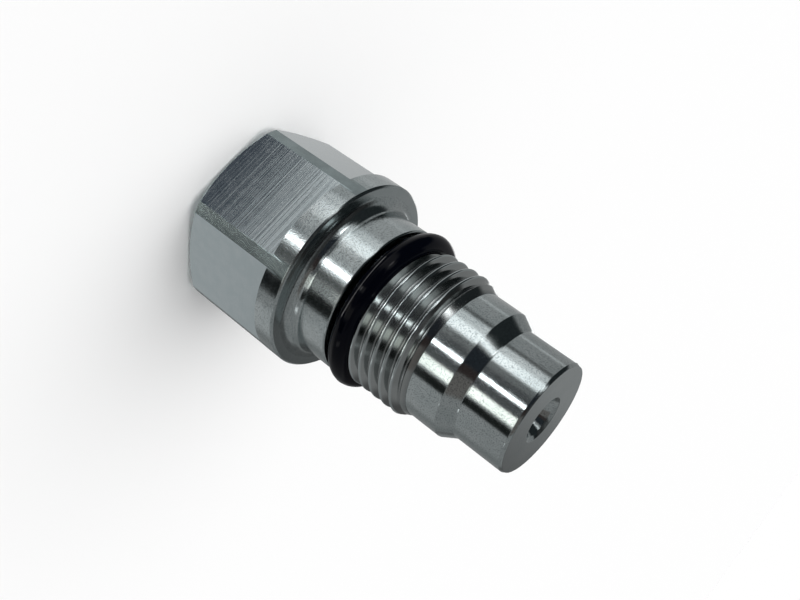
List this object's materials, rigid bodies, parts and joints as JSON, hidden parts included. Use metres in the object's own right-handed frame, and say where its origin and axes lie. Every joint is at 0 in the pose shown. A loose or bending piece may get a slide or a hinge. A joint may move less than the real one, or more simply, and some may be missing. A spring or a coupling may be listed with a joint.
{
  "type": "pressure relief valve plug",
  "caption": "Hex-headed steel screw plug with a round collar, an O-ring, a fine thread and a stepped nose, which closes the port of a pressure relief valve",
  "frame": {"origin": "centre of the flat back face of the hex head, on which the plug stands", "axes": "+Z along the plug's axis from the head to the nose; +Y square to two of the hex flats"},
  "size_m": [0.0246, 0.0246, 0.0444],
  "materials": {
    "steel": "turned and milled, bare",
    "seal": "smooth moulded"
  },
  "bodies": {
    "root": {"plug_body": "steel", "o_ring": "seal"}
  },
  "joints": []
}
